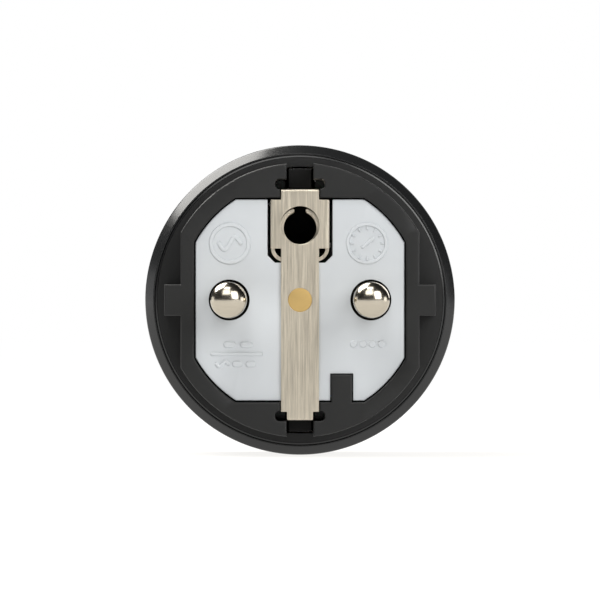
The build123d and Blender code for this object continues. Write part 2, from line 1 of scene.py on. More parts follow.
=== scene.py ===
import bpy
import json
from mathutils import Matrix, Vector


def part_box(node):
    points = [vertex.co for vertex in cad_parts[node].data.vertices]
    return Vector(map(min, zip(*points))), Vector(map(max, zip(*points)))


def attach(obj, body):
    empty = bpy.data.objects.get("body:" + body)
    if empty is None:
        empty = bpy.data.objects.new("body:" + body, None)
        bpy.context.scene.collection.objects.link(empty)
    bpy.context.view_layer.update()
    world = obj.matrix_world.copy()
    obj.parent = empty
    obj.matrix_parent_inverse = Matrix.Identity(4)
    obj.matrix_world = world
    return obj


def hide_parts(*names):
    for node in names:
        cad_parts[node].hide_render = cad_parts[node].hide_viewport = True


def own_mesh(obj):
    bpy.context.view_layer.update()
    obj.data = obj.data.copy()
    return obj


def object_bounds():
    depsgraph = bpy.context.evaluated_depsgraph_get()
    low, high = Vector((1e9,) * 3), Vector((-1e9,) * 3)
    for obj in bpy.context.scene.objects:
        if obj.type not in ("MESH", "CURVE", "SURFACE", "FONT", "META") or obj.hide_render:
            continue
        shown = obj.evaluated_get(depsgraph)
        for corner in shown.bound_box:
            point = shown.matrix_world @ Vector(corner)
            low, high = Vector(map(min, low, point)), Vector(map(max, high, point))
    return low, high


bl_info = {
    "name": "Switched Plug Adaptor",
    "version": (1, 0, 0),
    "blender": (4, 5, 0),
    "location": "View3D > Sidebar > Plug",
    "description": "Detailed surfaces and finishes for a round plug adaptor, built round its CAD frame",
    "category": "Object",
}

import json
from math import pi, radians, tau

import bmesh
import bpy
import numpy as np
from mathutils import Vector

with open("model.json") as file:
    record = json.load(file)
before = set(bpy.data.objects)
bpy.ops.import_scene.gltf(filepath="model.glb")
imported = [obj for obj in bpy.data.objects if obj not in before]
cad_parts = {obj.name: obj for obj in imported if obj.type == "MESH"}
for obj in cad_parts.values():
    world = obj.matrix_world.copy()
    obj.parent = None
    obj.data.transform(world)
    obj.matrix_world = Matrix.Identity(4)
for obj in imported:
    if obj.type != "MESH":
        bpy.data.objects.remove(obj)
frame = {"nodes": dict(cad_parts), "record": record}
NODES = frame["nodes"]
CAD_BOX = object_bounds()
MM = 0.001
FINE = 0.01 * MM          # too small to show; doubled points are merged at a small share of it

MOUNTS = {mount["name"]: mount for mount in frame["record"]["mounts"]}
PIN_R = MOUNTS["line_pin"]["dims"]["r_mm"] * MM
SLEEVE_LOW, SLEEVE_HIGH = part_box("housing_sleeve")
SLEEVE_R = SLEEVE_HIGH.x


def middle(node):
    low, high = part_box(node)
    return (low + high) / 2


# ---- what a user may change -------------------------------------------------------------


def length(name, description, default):
    return bpy.props.FloatProperty(
        name=name, description=description, default=default, min=0.0, precision=6, unit="LENGTH"
    )


def colour(name, description, default):
    return bpy.props.FloatVectorProperty(
        name=name, description=description, default=default, size=3, min=0.0, max=1.0, subtype="COLOR"
    )


class PlugSizes(bpy.types.PropertyGroup):
    """Roundings and thicknesses of the plug's fine detail."""

    moulded_edge: length("Moulded edge", "Rounding on the edges of the plastic mouldings", 0.09 * MM)
    sheet_edge: length("Sheet edge", "Rounding on the edges of the punched metal sheet", 0.07 * MM)
    bevel_blend: length("Bevel blend", "Where the sleeve's bevel runs into its side", 0.5 * MM)
    rear_round: length("Rear rounding", "Outer rounding of the sleeve's rear rim", 0.8 * MM)
    pin_dome: length("Pin dome", "Length of the rounded tip of a pin", 1.6 * MM)
    coil_wire: length("Coil wire", "Thickness of the relay coil's wire", 0.16 * MM)
    choke_wire: length("Choke wire", "Thickness of the choke's wire", 0.34 * MM)
    spring_wire: length("Spring wire", "Thickness of the shutter spring's wire", 0.22 * MM)


class PlugColours(bpy.types.PropertyGroup):
    """Base colours of the plug's finishes."""

    body: colour("Body", "Black moulding of the plug's face", (0.0060, 0.0063, 0.0064))
    sleeve: colour("Sleeve", "Glossy black outer sleeve", (0.012, 0.0125, 0.013))
    insert: colour("Insert", "Pale carrier of the pins", (0.575, 0.603, 0.63))
    nickel: colour("Nickel", "Plating of the pins and the earth strap", (0.63, 0.572, 0.469))
    rivet: colour("Rivet", "Earth rivet", (0.60, 0.42, 0.17))
    brass: colour("Brass", "Contacts and busbars", (0.70, 0.52, 0.24))
    copper: colour("Copper", "Enamelled winding wire", (0.60, 0.24, 0.09))
    steel: colour("Steel", "Screws, springs and the relay's iron", (0.60, 0.61, 0.63))
    mask: colour("Solder mask", "Lacquer of the circuit boards", (0.006, 0.055, 0.027))


# ---- shader maths -----------------------------------------------------------------------


class Value:
    """A shader socket that can be used in a Python expression."""

    def __init__(self, shader, socket):
        self.shader = shader
        self.socket = socket

    def math(self, operation, first, second=0.0):
        return self.shader.add("Math", {"operation": operation}, i0=first, i1=second)

    def __add__(self, other):
        return self.math("ADD", self, other)

    def __sub__(self, other):
        return self.math("SUBTRACT", self, other)

    def __rsub__(self, other):
        return self.math("SUBTRACT", other, self)

    def __mul__(self, other):
        return self.math("MULTIPLY", self, other)

    def __gt__(self, other):
        return self.math("GREATER_THAN", self, other)

    def __lt__(self, other):
        return self.math("LESS_THAN", self, other)

    __radd__ = __add__
    __rmul__ = __mul__

    def fraction(self):
        return self.math("FRACT", self)

    def size(self):
        return self.math("ABSOLUTE", self)


class Finish:
    """One procedural material, whose patterns follow the object's own coordinates."""

    def __init__(self, name, **constants):
        self.material = bpy.data.materials.new(name)
        self.material.use_nodes = True
        self.tree = self.material.node_tree
        self.surface = self.tree.nodes["Principled BSDF"]
        for key, value in constants.items():
            self.surface.inputs[key.replace("_", " ")].default_value = value
        self.place = self.add("TexCoord", output="Object")

    def add(self, kind, settings=None, output=0, **sockets):
        """A node: its settings first, then a value or a link for each of its sockets.

        A socket goes by its name or, as i0, by its number."""
        node = self.tree.nodes.new("ShaderNode" + kind)
        for key, value in (settings or {}).items():
            setattr(node, key, value)
        for key, value in sockets.items():
            numbered = key[1:].isdigit()
            self.feed(node.inputs[int(key[1:]) if numbered else key.replace("_", " ")], value)
        return Value(self, node.outputs[output])

    def feed(self, socket, value):
        if isinstance(value, Value):
            self.tree.links.new(value.socket, socket)
        else:
            socket.default_value = value

    def stretched(self, x, y, z):
        """Object coordinates with each axis multiplied by its own number."""
        return self.add("Mapping", Vector=self.place, Scale=(x, y, z))

    def axes(self):
        """The three object coordinates, in millimetres, as separate values."""
        vector = self.stretched(1 / MM, 1 / MM, 1 / MM)
        return [self.add("SeparateXYZ", output=i, Vector=vector) for i in range(3)]

    def noise(self, grain, detail=2.0, rough=0.5, stretch=(1, 1, 1)):
        """Noise whose features are about `grain` metres across, from 0 to 1."""
        where = self.stretched(*(s / grain for s in stretch))
        return self.add("TexNoise", Vector=where, Scale=1.0, Detail=detail, Roughness=rough)

    def mix(self, mask, first, second):
        """One colour into another, as a mask goes from 0 to 1."""
        shades = [v if isinstance(v, Value) else (*v, 1.0) for v in (first, second)]
        return self.add(
            "Mix", {"data_type": "RGBA"}, output=2, i0=mask, i6=shades[0], i7=shades[1]
        )

    def bump(self, height, depth, strength=1.0):
        normal = self.add("Bump", Strength=strength, Distance=depth, Height=height)
        self.feed(self.surface.inputs["Normal"], normal)

    def set(self, **sockets):
        for key, value in sockets.items():
            self.feed(self.surface.inputs[key.replace("_", " ")], value)
        return self.material


def shade(base, factor):
    return tuple(min(1.0, c * factor) for c in base)


def moulding(name, base, grain, depth, rough, spread=0.08, dull=None, gloss=0.4):
    """Moulded plastic: a fine spark-eroded texture with slow changes of gloss and tone.

    `dull` is a test of a place in millimetres that finds unpolished walls and narrow gaps."""
    finish = Finish(name, Specular_IOR_Level=gloss)
    fine = finish.noise(grain, 3.0)
    slow = finish.noise(6 * MM, 2.0)
    finish.bump(fine, depth, 0.6)
    tone = finish.mix(slow, shade(base, 0.93), shade(base, 1.07))
    rough = rough + (slow - 0.5) * spread + (fine - 0.5) * 0.06
    if dull:
        mask = dull(*finish.axes())
        tone = finish.mix(mask, tone, (0.001, 0.001, 0.001))
        rough = rough + mask * 0.4
    return finish.set(Base_Color=tone, Roughness=rough)


# Where a polish ends, in the millimetres that the tests below are given.
OPENING_FRONT, OPENING_BACK = 0.35, 25
OPENING_X, OPENING_Z, OPENING_R = 14.3, 13.8, 16.35
INSERT_FRONT = 0.8
SCREW_TOP, SCREW_RIM = 33.75, 1.5


def cover_inside(x, y, z):
    """Within the insert's opening, grown by its gap, from the front edge's rounding to the socket."""
    deep = (y > OPENING_FRONT) * (y < OPENING_BACK)
    return deep * (x.size() < OPENING_X) * (z.size() < OPENING_Z) * (x * x + z * z < OPENING_R ** 2)


def insert_flank(x, y, z):
    """Behind the rounding of the insert's front edge."""
    return y > INSERT_FRONT


def screw_recess(x, y, z):
    """Below the screw's flat top and inside its rim."""
    return (y < SCREW_TOP) * (x * x + z * z < SCREW_RIM ** 2)


def gloss_black(base):
    """Polished black plastic with a few hairline scratches and faint haze."""
    finish = Finish("sleeve_gloss", IOR=1.5)
    haze = finish.noise(4 * MM, 3.0)
    hairs = finish.noise(0.35 * MM, 4.0, 0.7, (1, 0.02, 1))
    finish.bump(finish.noise(0.9 * MM, 1.0), 0.0015 * MM, 0.4)
    tone = finish.mix(haze, shade(base, 0.9), shade(base, 1.1))
    return finish.set(Base_Color=tone, Roughness=0.19 + haze * 0.05 + (hairs > 0.68) * 0.06)


def brushed(name, base, along, metallic=1.0, rough=0.38):
    """Plated sheet with long fine grain along one axis, and a little cloudiness."""
    finish = Finish(name, Metallic=metallic)
    stretch = [1.0, 1.0, 1.0]
    stretch[along] = 0.035
    grain = finish.noise(0.26 * MM, 5.0, 0.7, stretch)
    broad = finish.noise(1.1 * MM, 2.0, 0.5, [s if s == 1.0 else 0.06 for s in stretch])
    cloud = finish.noise(3 * MM, 2.0)
    finish.bump(grain, 0.03 * MM, 0.7)
    worn = finish.mix((grain - 0.5) * 3.0 + 0.5, shade(base, 0.66), shade(base, 1.2))
    tone = finish.mix(cloud * 0.2 + broad * 0.35, worn, shade(base, 0.86))
    return finish.set(Base_Color=tone, Roughness=rough + (grain - 0.5) * 0.24 + (cloud - 0.5) * 0.08)


def polished_pin(base):
    """Bright nickel plate, drawn across by fine polishing lines."""
    finish = Finish("pin_nickel", Metallic=1.0)
    lines = finish.noise(0.16 * MM, 3.0, 0.6, (0.05, 0.3, 1.0))
    cloud = finish.noise(1.2 * MM, 2.0)
    behind = finish.axes()[1] > 0.2
    finish.bump(lines, 0.004 * MM, 0.5)
    tone = finish.mix(lines, shade(base, 0.76), shade(base, 0.92))
    tone = finish.mix(behind, tone, (0.022, 0.020, 0.017))
    return finish.set(Base_Color=tone, Roughness=0.13 + lines * 0.08 + cloud * 0.04 + behind * 0.35)


def metal(name, base, rough, grain, depth, dull=None):
    """Plain worked metal with small dents, stains and an uneven polish; `dull` as for a moulding."""
    finish = Finish(name, Metallic=1.0)
    small = finish.noise(grain, 3.0)
    stain = finish.noise(2.5 * MM, 4.0, 0.6)
    finish.bump(small, depth, 0.5)
    tone = finish.mix(stain, shade(base, 0.82), shade(base, 1.06))
    rough = rough + (stain - 0.5) * 0.16 + (small - 0.5) * 0.08
    if dull:
        mask = dull(*finish.axes())
        tone = finish.mix(mask, tone, shade(base, 0.06))
        rough = rough + mask * 0.3
    return finish.set(Base_Color=tone, Roughness=rough)


def circuit_board(base):
    """Lacquer over copper tracks that change direction from field to field, with tinned pads."""
    finish = Finish("board_lacquer", Coat_Weight=0.5, Coat_Roughness=0.15)
    x, y, z = finish.axes()
    field = finish.add(
        "TexVoronoi", output="Color", Vector=finish.stretched(1 / (4 * MM), 0, 1 / (4 * MM)), Scale=1.0
    )
    pick = finish.add("SeparateColor", output=0, i0=field)
    across = (x * 1.6).fraction() < 0.34
    along = (z * 1.6).fraction() < 0.34
    slant = ((x + z) * 1.15).fraction() < 0.34
    track = (pick > 0.62) * across + (pick < 0.34) * along
    track = track + (pick > 0.34) * (pick < 0.62) * slant
    spot = finish.add(
        "TexVoronoi", Vector=finish.stretched(1 / (1.9 * MM), 0, 1 / (1.9 * MM)), Scale=1.0
    )
    pad = spot < 0.17
    weave = finish.noise(0.4 * MM, 2.0, 0.5, (1, 1, 0.2))
    green = finish.mix(track, shade(base, 0.75), shade(base, 1.7))
    finish.bump(track * 0.7 + pad * 0.5 + weave * 0.1, 0.02 * MM, 0.7)
    return finish.set(
        Base_Color=finish.mix(pad, green, (0.72, 0.73, 0.74)),
        Metallic=pad * 0.9,
        Roughness=0.28 + weave * 0.12 - pad * 0.05,
    )


def light_guide():
    """Clear guide with a frosted end."""
    finish = Finish("light_guide", Transmission_Weight=0.55, IOR=1.49)
    frost = finish.noise(0.06 * MM, 3.0)
    finish.bump(frost, 0.004 * MM, 0.5)
    tone = finish.mix(frost, (0.62, 0.66, 0.70), (0.80, 0.83, 0.86))
    return finish.set(Base_Color=tone, Roughness=0.3 + frost * 0.15)


FINISHES = {}


def finishes(colours):
    """Makes every finish once, named for the record's material slots."""
    body, sleeve = tuple(colours.body), tuple(colours.sleeve)
    nickel, steel = tuple(colours.nickel), tuple(colours.steel)
    FINISHES.update(
        black_body=moulding("body_satin", body, 0.09 * MM, 0.004 * MM, 0.46, dull=cover_inside),
        carrier=moulding("carrier_black", shade(body, 0.4), 0.09 * MM, 0.004 * MM, 0.55, gloss=0.25),
        black_sleeve=gloss_black(sleeve),
        grey_plastic=moulding("shutter_grey", (0.10, 0.10, 0.105), 0.12 * MM, 0.005 * MM, 0.45),
        pale_insert=moulding(
            "insert_pale", tuple(colours.insert), 0.16 * MM, 0.004 * MM, 0.42, dull=insert_flank
        ),
        nickel_pin=polished_pin(nickel),
        nickel_sheet=brushed("strap_nickel", nickel, 2, 0.85, 0.34),
        rivet=metal("rivet_gold", tuple(colours.rivet), 0.5, 0.15 * MM, 0.004 * MM),
        brass=metal("contact_brass", tuple(colours.brass), 0.3, 0.3 * MM, 0.006 * MM),
        steel=metal("zinc_steel", steel, 0.34, 0.2 * MM, 0.006 * MM),
        copper=metal("enamelled_copper", tuple(colours.copper), 0.28, 0.4 * MM, 0.002 * MM),
        tin=brushed("shield_tin", (0.70, 0.71, 0.72), 0, 1.0, 0.32),
        circuit_board=circuit_board(tuple(colours.mask)),
        relay_case=moulding("relay_blue", (0.02, 0.06, 0.22), 0.2 * MM, 0.006 * MM, 0.32),
        black_component=moulding("epoxy_black", (0.02, 0.02, 0.021), 0.07 * MM, 0.006 * MM, 0.5),
        white_component=moulding("nylon_white", (0.74, 0.74, 0.70), 0.2 * MM, 0.004 * MM, 0.42),
        film_box=moulding("film_box", (0.50, 0.36, 0.03), 0.25 * MM, 0.006 * MM, 0.3),
        can_sleeve=moulding("can_sleeve", (0.02, 0.025, 0.045), 0.5 * MM, 0.004 * MM, 0.22),
        ferrite=moulding("ferrite", (0.045, 0.045, 0.05), 0.05 * MM, 0.012 * MM, 0.62),
        varistor_coat=moulding("varistor_blue", (0.03, 0.12, 0.34), 0.6 * MM, 0.03 * MM, 0.3),
        fuse_glass=moulding("fuse_ceramic", (0.74, 0.71, 0.64), 0.3 * MM, 0.006 * MM, 0.24),
        clear_plastic=light_guide(),
        screw=metal("screw_zinc", steel, 0.32, 0.2 * MM, 0.006 * MM, screw_recess),
        solder=metal("tinned_solder", (0.66, 0.67, 0.68), 0.2, 0.3 * MM, 0.02 * MM),
    )


# ---- surfaces ---------------------------------------------------------------------------


def rounded(corners, radii, closed=False, steps=7):
    """A line through corner points, each replaced by an arc that touches both of its runs.

    The arc starts at radius / tan(half angle) from the corner, and its centre lies on the
    corner's bisector at radius / sin(half angle)."""
    corners = [np.array(c, float) for c in corners]
    count = len(corners)
    pieces = []
    for i, radius in enumerate(radii):
        corner = corners[i]
        if radius <= 0 or (not closed and i in (0, count - 1)):
            pieces.append(corner[None])
            continue
        back = corners[i - 1] - corner
        ahead = corners[(i + 1) % count] - corner
        back, ahead = back / np.linalg.norm(back), ahead / np.linalg.norm(ahead)
        half = np.arccos(np.clip(back @ ahead, -1, 1)) / 2
        bisector = (back + ahead) / np.linalg.norm(back + ahead)
        centre = corner + bisector * radius / np.sin(half)
        first = corner + back * radius / np.tan(half) - centre
        last = corner + ahead * radius / np.tan(half) - centre
        t = np.linspace(0, 1, steps)[:, None]
        sweep = pi - 2 * half
        arc = (np.sin((1 - t) * sweep) * first + np.sin(t * sweep) * last) / np.sin(sweep)
        pieces.append(centre + arc)
    return np.vstack(pieces)


def skin(grid, close_rows=False, close_columns=False):
    """Four-sided faces between the neighbouring points of a grid, as (points, faces)."""
    rows, columns = grid.shape[:2]
    index = np.arange(rows * columns).reshape(rows, columns)
    if close_rows:
        index = np.vstack((index, index[:1]))
    if close_columns:
        index = np.hstack((index, index[:, :1]))
    faces = np.stack((index[:-1, :-1], index[1:, :-1], index[1:, 1:], index[:-1, 1:]), axis=-1)
    return grid.reshape(-1, 3), faces.reshape(-1, 4)


ORDER = {"x": (1, 0, 2), "y": (0, 1, 2), "z": (0, 2, 1)}


def lathe(profile, centre=(0, 0, 0), axis="y", segments=128, closed=False):
    """Profile points (r, h) turned round an axis: (r cos t, h, r sin t), moved to the centre."""
    turn = np.arange(segments) * tau / segments
    profile = np.asarray(profile, float)
    r, h = profile[:, :1], profile[:, 1:]
    grid = np.stack(np.broadcast_arrays(r * np.cos(turn), h, r * np.sin(turn)), axis=-1)
    grid = grid[..., ORDER[axis]] + np.array(centre, float)
    return skin(grid, close_rows=closed, close_columns=True)


def rod(radius, ends, centre, edge, segments=48):
    """A round bar along Y with rounded ends."""
    low, high = ends
    corners = [(0, low), (radius, low), (radius, high), (0, high)]
    return lathe(rounded(corners, (0, edge, edge, 0), steps=5), centre, segments=segments)


def bar(low, high, edge, steps=3):
    """A block whose corners are parts of a ball.

    A point there is inner corner + edge * (cos a cos b, sin a cos b, sin b)."""
    low, high = np.array(low, float), np.array(high, float)
    centre, half = (low + high) / 2, (high - low) / 2
    edge = min(edge, 0.98 * half.min())
    quarter = np.linspace(0, pi / 2, steps)
    a = (quarter[None] + np.arange(4)[:, None] * pi / 2).ravel()
    sides = np.repeat([[1, 1], [-1, 1], [-1, -1], [1, -1]], steps, axis=0)
    b = np.concatenate((quarter - pi / 2, quarter))
    ends = np.repeat([-1, 1], steps)
    inner = half - edge
    x = inner[0] * sides[:, 0] + edge * np.cos(b)[:, None] * np.cos(a)
    y = inner[1] * sides[:, 1] + edge * np.cos(b)[:, None] * np.sin(a)
    z = (inner[2] * ends + edge * np.sin(b))[:, None] + 0 * a
    grid = np.stack((x, y, z), axis=-1)
    poles = np.zeros((2, 1, 3))
    poles[:, 0, 2] = (-half[2], half[2])
    poles = np.repeat(poles, grid.shape[1], axis=1)
    grid = np.concatenate((poles[:1], grid, poles[1:])) + centre
    return skin(grid, close_columns=True)


def tube(path, radius, sides):
    """A round section carried along a path: point + radius * (cos v N + sin v B).

    B is the part of a fixed axis that is square to the path, and N is square to both."""
    path = np.asarray(path, float)
    tangent = np.gradient(path, axis=0)
    tangent /= np.linalg.norm(tangent, axis=1)[:, None]
    reference = np.eye(3)[np.argmin(np.abs(tangent).mean(axis=0))]
    normal = np.cross(tangent, reference)
    normal /= np.linalg.norm(normal, axis=1)[:, None]
    binormal = np.cross(tangent, normal)
    v = np.arange(sides) * tau / sides
    ring = np.cos(v)[None, :, None] * normal[:, None] + np.sin(v)[None, :, None] * binormal[:, None]
    grid = path[:, None] + radius * ring
    ends = np.repeat(path[[0, -1]][:, None], sides, axis=1)
    grid = np.concatenate((ends[:1], grid, ends[1:]))
    return skin(grid, close_columns=True)


def helix(radius, ends, turns, centre, axis, per_turn=20):
    """Points of a helix: (r cos t, h, r sin t), with h in step with t from end to end."""
    t = np.linspace(0, tau * turns, int(turns * per_turn) + 1)
    path = np.stack((radius * np.cos(t), np.interp(t, t[[0, -1]], ends), radius * np.sin(t)), axis=-1)
    return path[:, ORDER[axis]] + np.array(centre, float)


def object_from(name, shells, crease=35.0):
    """Joins shells of (points, faces) into one object, with doubled points merged, faces outwards."""
    start = np.cumsum([0] + [len(points) for points, _ in shells])
    points = np.vstack([points for points, _ in shells])
    faces = [face for (_, skins), offset in zip(shells, start) for face in (skins + offset).tolist()]
    mesh = bpy.data.meshes.new(name)
    mesh.from_pydata(points.tolist(), [], faces)
    return settled(name, mesh, crease, FINE / 40)


def rolled_tube():
    """The sprung tube behind the earth hole: an open ring of sheet carried straight back.

    The section is (q cos a, z + q sin a), out along the larger radius and back along the
    smaller, and its centre sits low, so that the sheet shows only round the top of the hole."""
    low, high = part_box("earth_pin_tube")
    hole_z = MOUNTS["earth_pin_bore"]["pos_m"][2]
    drop, inner, outer, half_gap = 0.32 * MM, 2.2 * MM, 2.86 * MM, radians(25)
    thinned, around = 0.1 * MM, 96
    mid, half = (inner + outer) / 2, (outer - inner) / 2
    a = np.linspace(pi / 2 + half_gap, 5 * pi / 2 - half_gap, around)
    lip = np.linspace(0, pi, 7)
    turn = half / mid * np.sin(lip)
    angle = np.concatenate((a, a[-1] + turn, a[::-1], a[0] - turn))
    edge = half * np.cos(lip)
    q = np.concatenate((np.full(around, outer), mid + edge, np.full(around, inner), mid - edge))
    ends = np.array([low.y, low.y, low.y + thinned, high.y - thinned, high.y, high.y])
    thin = np.array([0, 0.5, 1, 1, 0.5, 0])[:, None]
    q = mid + (q - mid) * thin
    grid = np.stack(
        np.broadcast_arrays(q * np.cos(angle), ends[:, None], hole_z - drop + q * np.sin(angle)), axis=-1
    )
    return skin(grid, close_columns=True)


def settled(name, mesh, crease, merge, join_flats=False):
    """Merges a mesh's doubled points, turns its faces outwards and marks its sharp edges."""
    work = bmesh.new()
    work.from_mesh(mesh)
    bmesh.ops.remove_doubles(work, verts=work.verts, dist=merge)
    bmesh.ops.dissolve_degenerate(work, edges=work.edges, dist=merge)
    if join_flats:
        bmesh.ops.dissolve_limit(
            work, angle_limit=radians(0.4), verts=work.verts, edges=work.edges, use_dissolve_boundaries=False
        )
    bmesh.ops.recalc_face_normals(work, faces=work.faces)
    work.to_mesh(mesh)
    work.free()
    mesh.shade_smooth()
    mesh.set_sharp_from_angle(angle=radians(crease))
    piece = bpy.data.objects.new(name, mesh)
    bpy.context.scene.collection.objects.link(piece)
    return piece


def cad_copy(name, node, edge=0.0, crease=32.0, segments=2):
    """A merged copy of a CAD node, with its flats joined and its sharp edges rounded."""
    source = NODES[node].data
    points = np.empty(len(source.vertices) * 3)
    source.vertices.foreach_get("co", points)
    corners = np.empty(len(source.loops), int)
    source.loops.foreach_get("vertex_index", corners)
    mesh = bpy.data.meshes.new(name)
    mesh.from_pydata(points.reshape(-1, 3).tolist(), [], corners.reshape(-1, 3).tolist())
    piece = settled(name, mesh, crease, FINE / 10, join_flats=edge > 0)
    if edge > 0:
        bevel = piece.modifiers.new("edge", "BEVEL")
        bevel.width = edge
        bevel.segments = segments
        bevel.limit_method = "ANGLE"
        bevel.angle_limit = radians(crease)
        bevel.use_clamp_overlap = False
        bevel.harden_normals = True
        bevel.miter_outer = "MITER_ARC"
    return piece


def fitted(piece, slot, nodes=(), body="housing", finish=None):
    """Gives a piece its finish, its body, the record's slot and the CAD nodes it stands for."""
    piece.data.materials.clear()
    piece.data.materials.append(FINISHES[finish or slot])
    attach(piece, body)
    if nodes:
        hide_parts(*nodes)
    return piece


def cut(piece, shells, crease=35.0):
    """Takes closed shells away from a piece, and leaves a plain mesh."""
    tool = object_from("cutter", shells)
    take = piece.modifiers.new("cut", "BOOLEAN")
    take.object = tool
    take.solver = "EXACT"
    graph = bpy.context.evaluated_depsgraph_get()
    mesh = bpy.data.meshes.new_from_object(piece.evaluated_get(graph))
    piece.modifiers.remove(take)
    name = piece.data.name
    piece.data = mesh
    mesh.name = name
    bpy.data.objects.remove(tool)
    mesh.set_sharp_from_angle(angle=radians(crease))
    return piece


# ---- the outside ------------------------------------------------------------------------


class PLUG_OT_finishes(bpy.types.Operator):
    """Make the finishes that every piece uses"""

    bl_idname = "plug.finishes"
    bl_label = "Finishes"
    bl_options = {"REGISTER"}

    def execute(self, context):
        finishes(context.scene.plug_colours)
        return {"FINISHED"}


class PLUG_OT_sleeve(bpy.types.Operator):
    """Turn the outer sleeve, with its bevelled front, rounded rear rim and two openings"""

    bl_idname = "plug.sleeve"
    bl_label = "Outer sleeve"
    bl_options = {"REGISTER"}

    def execute(self, context):
        sizes = context.scene.plug_sizes
        front, rear = SLEEVE_LOW.y, SLEEVE_HIGH.y
        bevel, wall = 1.1 * MM, 1.5 * MM
        inner = SLEEVE_R - wall
        seat_r, seat_y = inner + 0.18 * MM, front + 1.7 * MM
        near, far = 30 * MM, 40 * MM
        corners = [
            (seat_r, front), (SLEEVE_R - bevel, front), (SLEEVE_R, front + bevel),
            (SLEEVE_R, near), (SLEEVE_R, far), (SLEEVE_R, rear),
            (inner, rear), (inner, far), (inner, seat_y), (seat_r, seat_y),
        ]
        radii = (
            0.05 * MM, 0.06 * MM, sizes.bevel_blend, 0, 0, sizes.rear_round,
            0.3 * MM, 0, 0.04 * MM, 0.03 * MM,
        )
        profile = rounded(corners, radii, closed=True, steps=9)
        sleeve = object_from("outer_sleeve", [lathe(profile, segments=288, closed=True)])
        cutters = []
        below, above = 17 * MM, 23 * MM
        for node, radius in (("button_cap", 2.7 * MM), ("light_pipe", 0.85 * MM)):
            centre = middle(node)
            flare = radius + 0.2 * MM
            rim = SLEEVE_R - 0.22 * MM - centre.x ** 2 / SLEEVE_R / 2
            hole = [(0, below), (radius, below), (radius, rim),
                    (flare, SLEEVE_R + 0.05 * MM), (flare, above), (0, above)]
            hole = rounded(hole, (0, 0, 0.3 * MM, 0, 0, 0))
            cutters.append(lathe(hole, (centre.x, centre.y, 0), "z", 72))
        cut(sleeve, cutters, 30)
        fitted(sleeve, "black_sleeve", ["housing_sleeve"])
        return {"FINISHED"}


class PLUG_OT_plug_body(bpy.types.Operator):
    """Finish the plug body, the pale insert, the latch carrier, the well's floor and the flange's bead"""

    bl_idname = "plug.plug_body"
    bl_label = "Mouldings"
    bl_options = {"REGISTER"}

    def execute(self, context):
        sizes = context.scene.plug_sizes
        edge = sizes.moulded_edge
        fitted(cad_copy("plug_body", "rear_cover"), "black_body", ["rear_cover"])
        carrier = cad_copy("latch_carrier", "inner_carrier", edge)
        fitted(carrier, "black_body", ["inner_carrier"], finish="carrier")
        fitted(cad_copy("well_floor", "socket_face", edge), "black_body", ["socket_face"])
        fitted(cad_copy("pale_insert", "pin_insert"), "pale_insert", ["pin_insert"])
        outer, face = 19.6 * MM, SLEEVE_LOW.y
        width, crest, proud = 0.3 * MM, 0.2 * MM, 0.03 * MM
        profile = [
            (outer - width, face + 0.02 * MM), (outer - crest, face - proud), (outer, face + 0.04 * MM),
            (outer, face + width), (outer - width, face + width),
        ]
        bead = object_from("flange_bead", [lathe(profile, segments=288, closed=True)], 20)
        fitted(bead, "black_body", finish="black_sleeve")
        return {"FINISHED"}


SUNK = 0.2                # a raised line's foot is this share of its height under the face
SHOULDER = 0.85           # and its edge stands at this share, beside a flat top


def ridge(path, half, height, slope, base, centre):
    """A raised line on the insert: a sloping-sided section carried along a path in the face.

    A point is path + offset * side, and at the ends the offsets swing round to
    path + |offset| * sin t ahead + offset * cos t sideways, which closes them as half circles."""
    path = np.asarray(path, float)
    tangent = np.gradient(path, axis=0)
    tangent /= np.linalg.norm(tangent, axis=1)[:, None]
    side = tangent[:, ::-1] * (-1, 1)
    offset = np.array([-half - slope, -half, -half * 0.8, half * 0.8, half, half + slope])
    depth = base - height * np.array([-SUNK, SHOULDER, 1.0, 1.0, SHOULDER, -SUNK])
    t = np.linspace(pi / 2, 0, 6)[:-1]
    lead = np.concatenate((-np.sin(t), np.zeros(len(path)), np.sin(t[::-1])))
    width = np.concatenate((np.cos(t), np.ones(len(path)), np.cos(t[::-1])))
    rows = np.concatenate((np.zeros(len(t), int), np.arange(len(path)), np.full(len(t), len(path) - 1)))
    spot = path[rows][:, None] + side[rows][:, None] * (offset * width[:, None])[..., None]
    spot = spot + tangent[rows][:, None] * (np.abs(offset) * lead[:, None])[..., None]
    x, z = spot[..., 0] + centre[0], spot[..., 1] + centre[1]
    return skin(np.stack((x, np.broadcast_to(depth, x.shape), z), axis=-1), close_columns=True)


def hoop(inner, outer, height, slope, base, centre):
    """A raised ring with sloping sides, turned about its own middle."""
    foot, top = base + SUNK * height, base - height
    corners = [(inner - slope, foot), (inner, top), (outer, top), (outer + slope, foot)]
    profile = rounded(corners, (0, 0.05 * MM, 0.05 * MM, 0), closed=True, steps=4)
    return lathe(profile, (centre[0], 0, centre[1]), segments=96, closed=True)


